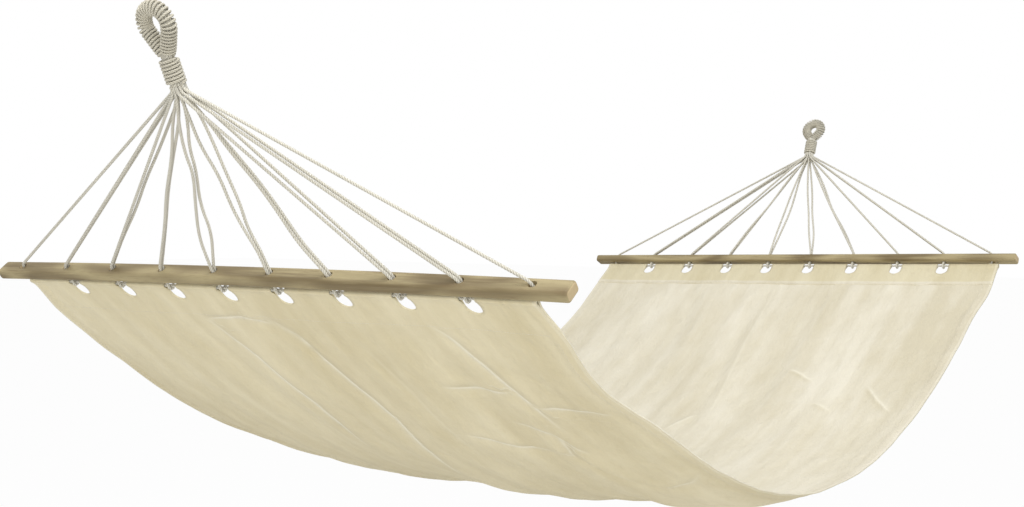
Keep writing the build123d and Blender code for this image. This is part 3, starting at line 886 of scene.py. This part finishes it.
def sheet_form(x, s):
    """Height above the curve of the sides, the shift across, and the nearest crease."""
    u = share_at(s)
    middle = 1 - (2 * u - 1) ** 2
    end_ease = ease((middle - 0.06) / 0.12)     # the hems themselves stay flat
    height = -CROSS_SAG * (1 - (x / HALF_WIDTH) ** 2) * middle ** 1.5 + SIDE_LEAN * x / HALF_WIDTH * middle
    bay = 0.5 + 0.5 * np.cos(2 * pi * x / HOLE_PITCH)
    uneven = 0.75 + 0.5 * soft_noise(x, s, 0.11, 0.9, 3.0)
    height -= (BAY_SAG[0] + (BAY_SAG[1] - BAY_SAG[0]) * middle) * bay * uneven * ease((0.46 - abs(x)) / 0.04)
    for rise, across, along, seed in SOFT_FORMS:
        height += rise * soft_noise(x, s, across, along, seed) * end_ease
    for rise, centre, width in BELLIES:
        height += rise * hump(x, centre, width) * hump(u, 0.42, 0.17)
    # the free edges droop beside the head's corners, lift a little further on, and wander in and out
    free = ease((np.abs(x) - 0.36) / 0.10)
    right = x > 0
    droop = hump(u, 0.075, 0.055)
    height -= 0.011 * droop * ease((x - 0.30) / 0.16)
    height += 0.0045 * free * middle * np.where(right, 1.0, 0.7)
    shift = -0.013 * droop * ease((x - 0.34) / 0.12) + 0.004 * hump(u, 0.06, 0.05) * ease((-x - 0.34) / 0.12)
    shift += free * middle ** 0.5 * 0.006 * soft_noise(np.sign(x), s, 1.0, 0.13, 41.0)
    shift += 0.004 * free * np.where(right, 1, -1) * (hump(u, 0.955, 0.025) - hump(u, 0.90, 0.03))
    shift -= np.sign(x) * HEM_DRAW * ease((np.abs(x) - 0.39) / 0.06) * (1 - ease(s / 0.085))
    folds, nearest, strength = folded(x, s)
    return height + folds, shift, nearest, strength


probe = sheet_form(np.array([0.0, 0.4]), np.array([BED_LENGTH / 2, 0.2]))
print("the middle lies", round(float(-probe[0][0]) * 1000, 1), "mm under the sides' line")

# %% [markdown]
# The sheet's mesh
#
# The cloth is one sheet that goes round each hem cord and back over itself as a turned hem. Its rows run
# across the bed, from the raw edge of one turned hem, round the cord, down the bed, and round the other
# cord. Its columns are laid tab by tab, and where a notch is cut they follow the notch's edge, so the
# eight notches are true outlines and not a jagged row of missing squares.

# %% Rows and columns
HEM_DEPTH = 0.065
NOTCH_HALF = 0.012
NOTCH_DEPTH = 0.028
WRAP = 0.0033           # radius of the cloth's middle round the hem cord
LAYER = 0.0006          # each of the two layers of the hem lies this far from their middle
RAW_EDGE_SUNK = 0.0008  # the seam presses the turned edge into the cloth under it
WRAP_ANGLE = radians(70)
WRAP_REACH = 0.013
STRAIGHT = NOTCH_DEPTH - NOTCH_HALF
SIDE_HEM = 0.020
ROW_STEP = 0.009        # at most, between the hems
TABS = HOLE_COUNT - 1
TAB_STEPS = 16          # columns of an inner tab
OUTER_STEPS = 13        # and of an outer one, beside those of its side hem

rounded_rows = [STRAIGHT + NOTCH_HALF * sin(radians(angle)) for angle in (0, 15, 30, 45, 60, 75, 90)]
hem_rows = [0.003, 0.0055, 0.009, 0.0125] + rounded_rows + [0.033, 0.039, 0.045, 0.052, 0.059, HEM_DEPTH]


def notch_half_at(t):
    """Half the width of a notch at a distance from the hem cord."""
    if t <= STRAIGHT:
        return NOTCH_HALF
    return sqrt(max(NOTCH_HALF ** 2 - (t - STRAIGHT) ** 2, 0.0)) if t < NOTCH_DEPTH else 0.0


def hem_lift(t):
    """How far each layer stands off the middle of the hem, near the cord and away from it."""
    start, top = WRAP * cos(WRAP_ANGLE), WRAP * sin(WRAP_ANGLE)
    if t < start + WRAP_REACH:
        return LAYER + (top - LAYER) * (1 - (t - start) / WRAP_REACH) ** 2
    return LAYER * (1 - float(ease((t - HEM_DEPTH) / 0.015)))


def head_rows():
    """Distance, lift, notch depth and length along the unrolled cloth, from the raw edge to the hem's end."""
    rows = []
    for t in hem_rows[::-1]:
        lift = hem_lift(t) - (RAW_EDGE_SUNK if t == HEM_DEPTH else 0)
        rows.append((t, lift, t, -(t + pi * WRAP)))
    sweep = 2 * pi - 2 * WRAP_ANGLE
    for k in range(9):
        angle = 2 * pi - WRAP_ANGLE - sweep * k / 8
        rows.append((WRAP * cos(angle), -WRAP * sin(angle), 0.0, (angle / pi - 2) * WRAP))
    return rows + [(t, -hem_lift(t), t, t) for t in hem_rows]


def all_rows():
    head = head_rows()
    count = ceil((BED_LENGTH - 2 * HEM_DEPTH) / ROW_STEP)
    inner = [HEM_DEPTH + (BED_LENGTH - 2 * HEM_DEPTH) * k / count for k in range(1, count)]
    body = [(s, -hem_lift(min(s, BED_LENGTH - s)), 1.0, s) for s in inner]
    foot = [(BED_LENGTH - t, lift, depth, BED_LENGTH - run) for t, lift, depth, run in head[::-1]]
    return head + body + foot


def tab_columns(tab, depth):
    """Places across one tab, from notch to notch, at a row's distance from the hem cord."""
    notches = HOLES[1:-1]
    half = notch_half_at(depth)
    left = -HALF_WIDTH if tab == 0 else notches[tab - 1] + half
    right = HALF_WIDTH if tab == len(notches) else notches[tab] - half
    if 0 < tab < len(notches):
        return [left + (right - left) * k / TAB_STEPS for k in range(TAB_STEPS + 1)]
    edge = [0.0, 0.0012, 0.007, 0.013, SIDE_HEM - 0.0008, SIDE_HEM + 0.0008]
    rest = right - left - edge[-1]
    steps = edge + [edge[-1] + rest * k / OUTER_STEPS for k in range(1, OUTER_STEPS + 1)]
    return [left + step for step in steps] if tab == 0 else [right - step for step in steps[::-1]]


ROWS = all_rows()
print(len(ROWS), "rows and", sum(len(tab_columns(tab, 1.0)) - 1 for tab in range(TABS)), "columns")


# %% The canvas sheet
def sheet_places(x, s, lift):
    height, shift, nearest, strength = sheet_form(x, s)
    return on_bed(x + shift, s, lift + height), nearest, strength


def make_sheet():
    places, creases, unrolled, faces = [], [], [], []
    for tab in range(TABS):
        first = sum(len(block) for block in places)
        x = np.array([tab_columns(tab, row[2]) for row in ROWS])
        by_row = np.array([(s, lift, run) for s, lift, _, run in ROWS])
        s, lift, run = (np.repeat(by_row[:, k:k + 1], x.shape[1], axis=1) for k in range(3))
        spots, nearest, strength = sheet_places(x, s, lift)
        places.append(spots.reshape(-1, 3))
        creases.append(np.stack([nearest, strength, np.abs(x)], axis=-1).reshape(-1, 3))
        unrolled.append(np.stack([x, run], axis=-1).reshape(-1, 2))
        wide = x.shape[1]
        for row in range(len(ROWS) - 1):
            for column in range(wide - 1):
                a = first + row * wide + column
                faces.append((a, a + 1, a + wide + 1, a + wide))
    places, creases, unrolled = (np.concatenate(block) for block in (places, creases, unrolled))
    mesh = bpy.data.meshes.new("canvas_bed")
    mesh.from_pydata(places.tolist(), [], faces)
    mesh.attributes.new("crease", "FLOAT_VECTOR", "POINT").data.foreach_set("vector", creases.ravel())
    corners = np.array([loop.vertex_index for loop in mesh.loops])
    mesh.uv_layers.new(name="cloth").data.foreach_set("uv", unrolled[corners].ravel())
    return mesh


canvas_mesh = make_sheet()
print("canvas before it gets its thickness:", len(canvas_mesh.polygons), "faces")

# %% [markdown]
# Canvas
#
# The finish reads the sheet's own unrolled map, in metres, so threads run along and across the cloth
# wherever it hangs. Plain weave is a product of two waves; uneven yarns, streaks and patches are noise drawn
# out along each direction, and the fine crumple is noise that shifts the normal. The creases come from the
# signed distance that the folds left on the mesh, which gives each a painted highlight on its line and
# painted shade on one flank. The underside, which the normal tells, gets painted shade: a yellower, darker
# tint. The doubled end hems are a little deeper in colour, and the selvedges get a paler painted highlight.


# %% Canvas finish
WEAVE_PITCH = 0.0016
SIDE_HEM_THICKNESS = 0.0026
SINGLE_SHARE = 0.45     # of it, where the cloth is single


def canvas_finish():
    finish = Finish("cotton canvas", roughness=0.88, sheen=0.12)
    cloth = finish.add("ShaderNodeTexCoord", None, None, out=2)
    across, along, _ = finish.parts(cloth)
    thread = 2 * pi / WEAVE_PITCH
    weave = (across * thread).sine() * (along * thread).sine()
    weft = finish.noise(finish.stretched(cloth, (45.0, 1500.0, 1.0)), 1.0, 2.0)
    warp = finish.noise(finish.stretched(cloth, (1500.0, 30.0, 1.0)), 1.0, 2.0)
    patches = finish.noise(finish.stretched(cloth, (6.0, 2.2, 1.0)), 1.0, 3.0)
    streaks = finish.noise(finish.stretched(cloth, (26.0, 1.6, 1.0)), 1.0, 3.0)
    crumple = finish.noise(finish.stretched(cloth, (34.0, 15.0, 1.0)), 1.0, 5.0, 0.62)
    near, strength, from_middle = finish.parts(finish.attribute("crease", out=1))
    # painted highlight: a thin pale line along each crease; painted shade: a dark band on one flank beside it
    line = strength / ((near / 0.0026) ** 2 + 1.0)
    flank = strength / (((near - 0.006) / 0.0045) ** 2 + 1.0)
    tone = patches * 0.40 + streaks * 0.30 + crumple * 0.20 + weft * 0.05 + warp * 0.05
    base = finish.ramp(tone, (0.39, (0.645, 0.588, 0.440)), (0.61, (0.790, 0.745, 0.620)))
    upward = finish.parts(finish.add("ShaderNodeNewGeometry", None, None, out=1))[2]
    # painted shade: faces that look down, the cloth's underside, are marked for a yellower, darker tint
    under = (0.5 - upward * 4.0).most(0.0).least(1.0)
    end_distance = along.size().least((along - BED_LENGTH).size())
    doubled = ((HEM_DEPTH - end_distance) * 900.0 + 0.5).most(0.0).least(1.0) * (1.0 - under)
    # painted highlight along the outer few millimetres of the thick side hem
    selvedge_highlight = ((from_middle - HALF_WIDTH + 0.006) * 500.0).most(0.0).least(1.0)
    # painted shade on the underside
    underside_shaded = finish.mix(under * 0.9, base, (1.0, 0.955, 0.80), "MULTIPLY")
    hemmed = finish.mix(doubled * 0.8, underside_shaded, (0.93, 0.90, 0.76), "MULTIPLY")
    # painted highlight: crease lines and the selvedge are mixed toward a paler colour
    painted_highlights = finish.mix((line * 0.85).most(selvedge_highlight * 0.25), hemmed, (0.94, 0.90, 0.76))
    # painted shade on the flank beside each crease
    shaded = finish.mix(flank * 0.34, painted_highlights, (0.46, 0.40, 0.24))
    rough = finish.bump(weave * 0.4 + weft + warp, 0.00035, 0.5)
    wrinkled = finish.bump(crumple, 0.0075, 0.8, below=rough)
    normal = finish.bump(line - flank * 0.6, 0.0010, 0.8, below=wrinkled)
    return finish.end(shaded, normal=normal)


def dress_sheet(mesh):
    """Welds the tabs, turns the side hems into a thicker band and gives the cloth its thickness."""
    sheet = bpy.data.objects.new("canvas_bed", mesh)
    scene.collection.objects.link(sheet)
    mesh.materials.append(canvas_finish())
    weld = sheet.modifiers.new("weld", "WELD")
    weld.merge_threshold = 1e-6
    crease = np.zeros(len(mesh.vertices) * 3)
    mesh.attributes["crease"].data.foreach_get("vector", crease)
    hemmed = crease[2::3] > HALF_WIDTH - SIDE_HEM     # its third number is the distance from the middle
    group = sheet.vertex_groups.new(name="thick")
    group.add([int(k) for k in np.flatnonzero(hemmed)], 1.0, "REPLACE")
    group.add([int(k) for k in np.flatnonzero(~hemmed)], SINGLE_SHARE, "REPLACE")
    thick = sheet.modifiers.new("thickness", "SOLIDIFY")
    thick.thickness, thick.offset = SIDE_HEM_THICKNESS, 0.0
    thick.vertex_group = "thick"
    ready = sheet.evaluated_get(bpy.context.evaluated_depsgraph_get())
    solid = bpy.data.meshes.new_from_object(ready)
    sheet.modifiers.clear()
    sheet.data = solid
    solid.shade_smooth()
    return sheet


canvas = dress_sheet(canvas_mesh)
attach(canvas, "bed")
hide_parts("bed_cloth")
print("canvas:", sum(len(face.vertices) - 2 for face in canvas.data.polygons), "triangles")

# %% [markdown]
# Stitches
#
# The hems are held by rows of machine stitches. One stitch is a small grain of thread; Geometry Nodes set
# one at each step along a row and turn it to lie along the row. Each row is laid on both faces of the cloth.


# %% Stitch rows
def stitch_tree():
    tree, given = new_tree("stitch row", [("Pitch", "Float"), ("Thread", "Float"), ("Material", "Material")])
    row = add_node(tree, "GeometryNodeResampleCurve", {"mode": "LENGTH"},
                   {"Curve": given["Geometry"], "Length": given["Pitch"]})
    grain = add_node(tree, "GeometryNodeMeshUVSphere", None, {"Segments": 6, "Rings": 4, "Radius": 1.0})
    tangent = add_node(tree, "GeometryNodeInputTangent")
    turned = add_node(tree, "FunctionNodeAlignRotationToVector", {"axis": "Z"},
                      {"Vector": tangent.outputs[0]})
    length = number(tree, "MULTIPLY", given["Pitch"], 0.42)
    size = add_node(tree, "ShaderNodeCombineXYZ", None, {0: given["Thread"], 1: given["Thread"], 2: length})
    laid = add_node(tree, "GeometryNodeInstanceOnPoints", None,
                    {"Points": row.outputs[0], "Instance": grain.outputs["Mesh"],
                     "Rotation": turned.outputs[0], "Scale": size.outputs[0]})
    close_tree(tree, laid.outputs[0], given["Material"])
    return tree


def thread_finish():
    finish = Finish("sewing thread", roughness=0.7)
    place = finish.add("ShaderNodeTexCoord", None, None, out=3)
    shade = finish.noise(place, 260.0, 2.0)
    colour = finish.ramp(shade, (0.3, (0.60, 0.55, 0.43)), (0.7, (0.80, 0.76, 0.66)))
    return finish.end(colour, normal=finish.bump(shade, 0.0002, 0.5))


STITCH_PITCH = 0.0042
THREAD = 0.00034
SIDE_SEAM = HALF_WIDTH - SIDE_HEM + 0.0035
END_SEAM = 0.005        # from the turned edge of an end hem
ON_SIDE_HEM = 0.0013    # height of the thread over the middle of the thick side hem
ON_END_HEM = LAYER + 0.0006


def sew():
    tree, thread = stitch_tree(), thread_finish()
    lines = []
    along = np.linspace(HEM_DEPTH * 0.5, BED_LENGTH - HEM_DEPTH * 0.5, 260)
    across = np.linspace(-HALF_WIDTH + 0.012, HALF_WIDTH - 0.012, 150)
    for face in (1, -1):
        for x in (-SIDE_SEAM, SIDE_SEAM):
            lines.append((np.full_like(along, x), along, np.full_like(along, face * ON_SIDE_HEM)))
        for s in (HEM_DEPTH - END_SEAM, BED_LENGTH - HEM_DEPTH + END_SEAM):
            lines.append((across, np.full_like(across, s), np.full_like(across, face * ON_END_HEM)))
    given = {"Pitch": STITCH_PITCH, "Thread": THREAD, "Material": thread}
    rows = []
    for k, line in enumerate(lines):
        row = smooth_line(sheet_places(*line)[0], "POLY")
        rows.append(made_by(tree, row, f"stitches_{k}", **given))
    return joined("hem_stitches", rows)


stitches = sew()
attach(stitches, "bed")
print("stitches:", sum(len(face.vertices) - 2 for face in stitches.data.polygons), "triangles")

# %% [markdown]
# Wood
#
# The bars are plain hardwood, oiled and weathered to an olive tan. Grain is noise drawn out along the bar
# and bent by a broader noise, with darker pores and a few knots. The sawn ends show paler end grain, which
# the finish finds from the direction that the surface faces.


# %% Bar finish
def wood_finish(name, shift):
    finish = Finish(name, roughness=0.6, specular=0.35)
    spot = finish.add("ShaderNodeTexCoord", None, None, out=3)
    place = finish.add("ShaderNodeMapping", None, {"Vector": spot, "Location": (shift, 0.0, 0.0)})
    bend = finish.noise(finish.stretched(place, (3.0, 14.0, 14.0)), 1.0, 2.0)
    grain = finish.noise(finish.stretched(place, (9.0, 260.0, 260.0)), 1.0, 4.0, 0.6)
    bands = ((bend * 30.0 + grain * 3.0).sine() * 0.5 + 0.5) * 0.55 + grain * 0.45
    pores = finish.noise(finish.stretched(place, (60.0, 1500.0, 1500.0)), 1.0, 2.0)
    knots = finish.add("ShaderNodeTexVoronoi", {"feature": "F1"},
                       {"Vector": finish.stretched(place, (5.5, 28.0, 28.0)), "Scale": 1.0})
    knot = (1.0 - knots * 4.2).most(0.0)
    colour = finish.ramp(bands, (0.15, (0.165, 0.122, 0.058)), (0.85, (0.430, 0.360, 0.205)),
                         (0.50, (0.305, 0.244, 0.128)))
    pored = finish.mix((0.44 - pores).most(0.0) * 3.0, colour, (0.16, 0.11, 0.05))
    knotted = finish.mix(knot * 0.85, pored, (0.13, 0.08, 0.035))
    facing = finish.parts(finish.add("ShaderNodeNewGeometry", None, None, out=1))[0].size()
    sawn = ((facing - 0.75) * 6.0).most(0.0).least(1.0)
    ends = finish.mix(sawn * 0.75, knotted, (0.60, 0.47, 0.28))
    normal = finish.bump(grain + pores * 0.5, 0.0006, 0.5)
    return finish.end(ends, roughness=0.5 + bands * 0.2, normal=normal)


for end, shift in ((HEAD, 0.0), (FOOT, 3.7)):
    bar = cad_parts[f"{end.name}_spreader_bar"]
    bar.data.materials.clear()
    bar.data.materials.append(wood_finish(f"{end.name} bar wood", shift))
print("both bars have their wood")

# %% [markdown]
# Studio
#
# The hammock hangs over a pale floor. A white sky lights it softly from everywhere, one large lamp above
# gives the cloth its shape, and a smaller one fills from the head side. The background is white because the
# floor and the sky look white to the camera, not because there is more light on the cloth.

# %% Floor, sky and lamps
FLOOR_HEIGHT = -1.25
FLOOR_REACH = 30.0
FLOOR_GLOW = 0.95       # the share of plain white that the camera sees; the rest keeps the shadow


def add_floor():
    mesh = bpy.data.meshes.new("floor")
    corners = [(x * FLOOR_REACH, y * FLOOR_REACH, FLOOR_HEIGHT)
               for x, y in ((-1, -1), (1, -1), (1, 1), (-1, 1))]
    mesh.from_pydata(corners, [], [(0, 1, 2, 3)])
    floor = bpy.data.objects.new("floor", mesh)
    scene.collection.objects.link(floor)
    finish = Finish("pale floor", roughness=0.9)
    finish.end((0.86, 0.86, 0.85, 1.0))
    tree = finish.tree
    glow = tree.nodes.new("ShaderNodeEmission")
    rays = tree.nodes.new("ShaderNodeLightPath")
    share = Link(finish, rays.outputs["Is Camera Ray"]) * FLOOR_GLOW
    both = tree.nodes.new("ShaderNodeMixShader")
    tree.links.new(share.socket, both.inputs[0])
    tree.links.new(finish.shader.outputs[0], both.inputs[1])
    tree.links.new(glow.outputs[0], both.inputs[2])
    output = next(node for node in tree.nodes if node.type == "OUTPUT_MATERIAL")
    tree.links.new(both.outputs[0], output.inputs["Surface"])
    mesh.materials.append(finish.material)


def add_sky(level):
    world = bpy.data.worlds.new("studio")
    scene.world = world
    world.use_nodes = True
    tree = world.node_tree
    tree.nodes.clear()
    rays = tree.nodes.new("ShaderNodeLightPath")
    seen = number(tree, "MAXIMUM", rays.outputs["Is Camera Ray"], rays.outputs["Is Glossy Ray"])
    plain = number(tree, "MULTIPLY", number(tree, "SUBTRACT", 1.0, seen), level)
    sky = add_node(tree, "ShaderNodeBackground", None,
                   {"Color": (1.0, 1.0, 1.0, 1.0), "Strength": number(tree, "ADD", seen, plain)})
    output = tree.nodes.new("ShaderNodeOutputWorld")
    tree.links.new(sky.outputs[0], output.inputs["Surface"])


def add_lamp(name, place, aim, size, power, colour=(1.0, 1.0, 1.0)):
    data = bpy.data.lights.new(name, "AREA")
    data.shape, data.size, data.energy, data.color = "SQUARE", size, power, colour
    lamp = bpy.data.objects.new(name, data)
    lamp.location = place
    lamp.rotation_euler = (Vector(aim) - Vector(place)).to_track_quat("-Z", "Y").to_euler()
    scene.collection.objects.link(lamp)


add_floor()
add_sky(0.70)
add_lamp("top lamp", (0.9, -0.3, 2.1), (0.0, 1.0, -0.6), 1.8, 48.0)
add_lamp("head lamp", (1.6, -2.4, 0.2), (0.0, 0.4, -0.5), 1.6, 24.0, (1.0, 0.97, 0.90))
scene.view_settings.view_transform = "Standard"
print("studio is lit")
